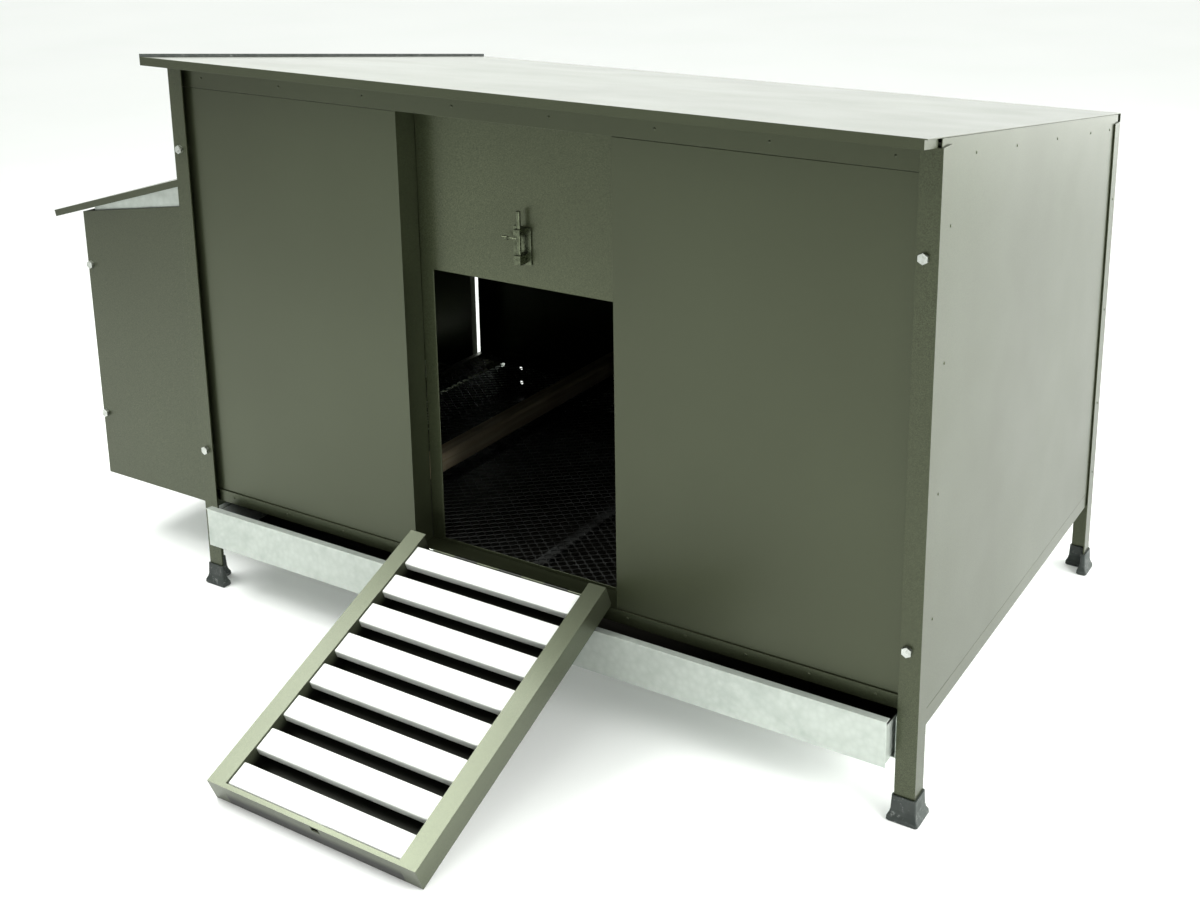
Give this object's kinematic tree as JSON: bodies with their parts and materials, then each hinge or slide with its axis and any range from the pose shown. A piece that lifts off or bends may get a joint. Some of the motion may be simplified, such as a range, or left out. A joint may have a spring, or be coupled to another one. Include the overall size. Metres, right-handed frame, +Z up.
{
  "type": "chicken coop",
  "caption": "Sheet-steel chicken coop on four angle legs with sloping roof, fold-up ramp door, side nest box with hinged lid and slide-out dropping tray.",
  "frame": {"origin": "on the floor under the middle of the bounding box", "axes": "+X right along the front, +Y from the ramp to the rear wall, +Z up"},
  "size_m": [1.701, 1.3152, 0.9587],
  "materials": {
    "paint": "olive green metallic powder coat, fine speckle, soft gloss",
    "galvanised": "galvanised, faint spangle, scuffed",
    "slat_white": "off-white powder coat, satin",
    "zinc": "bright zinc plate",
    "rubber": "moulded, matt, scuffed",
    "timber": "sawn softwood, unpainted"
  },
  "bodies": {
    "coop": {"boot_front_left": "rubber", "boot_front_right": "rubber", "boot_rear_left": "rubber", "boot_rear_right": "rubber", "floor_bearer_1": "galvanised", "floor_bearer_2": "galvanised", "floor_bearer_3": "galvanised", "floor_mesh": "galvanised", "front_panel_left": "paint", "front_panel_right": "paint", "front_top_rail": "paint", "latch_housing": "zinc", "leg_bolt_front_left_1": "zinc", "leg_bolt_front_left_2": "zinc", "leg_bolt_front_right_1": "zinc", "leg_bolt_front_right_2": "zinc", "leg_front_left": "paint", "leg_front_right": "paint", "leg_rear_left": "paint", "leg_rear_right": "paint", "lid_hinge_leaf": "zinc", "lid_hinge_pin": "zinc", "nest_bolt_1": "zinc", "nest_bolt_2": "zinc", "nest_divider": "galvanised", "nest_floor": "galvanised", "nest_front_panel": "paint", "nest_outer_panel": "paint", "nest_rear_panel": "paint", "nest_wedge_front": "galvanised", "nest_wedge_rear": "galvanised", "perch": "timber", "perch_bracket_front": "galvanised", "perch_bracket_rear": "galvanised", "pop_hole_frame": "paint", "ramp_hinge_pin": "zinc", "rear_panel": "paint", "rear_rail": "paint", "roof_sheet": "paint", "side_panel_left": "paint", "side_panel_right": "paint", "side_rail_left": "paint", "side_rail_right": "paint", "sill_rail": "paint", "tray_runner_left": "galvanised", "tray_runner_right": "galvanised"},
    "ramp": {"ramp_pan": "paint", "ramp_slat_1": "slat_white", "ramp_slat_2": "slat_white", "ramp_slat_3": "slat_white", "ramp_slat_4": "slat_white", "ramp_slat_5": "slat_white", "ramp_slat_6": "slat_white", "ramp_slat_7": "slat_white", "ramp_slat_8": "slat_white"},
    "latch": {"latch_bolt": "zinc"},
    "tray": {"dropping_tray": "galvanised"},
    "lid": {"nest_lid": "paint"}
  },
  "joints": [
    {"name": "ramp_hinge", "type": "hinge", "parent": "coop", "child": "ramp", "pos_m": [0.16949, -0.19236, 0.1875], "axis": [-1, 0, 0], "range_deg": [0, 112.4]},
    {"name": "latch_slide", "type": "slide", "parent": "coop", "child": "latch", "axis": [0, 0, -1], "range_m": [0, 0.014]},
    {"name": "tray_slide", "type": "slide", "parent": "coop", "child": "tray", "axis": [0, 1, 0], "range_m": [0, 0.6]},
    {"name": "lid_hinge", "type": "hinge", "parent": "coop", "child": "lid", "pos_m": [-0.49551, 0.22164, 0.735], "axis": [0, 1, 0], "range_deg": [0, 85]}
  ]
}
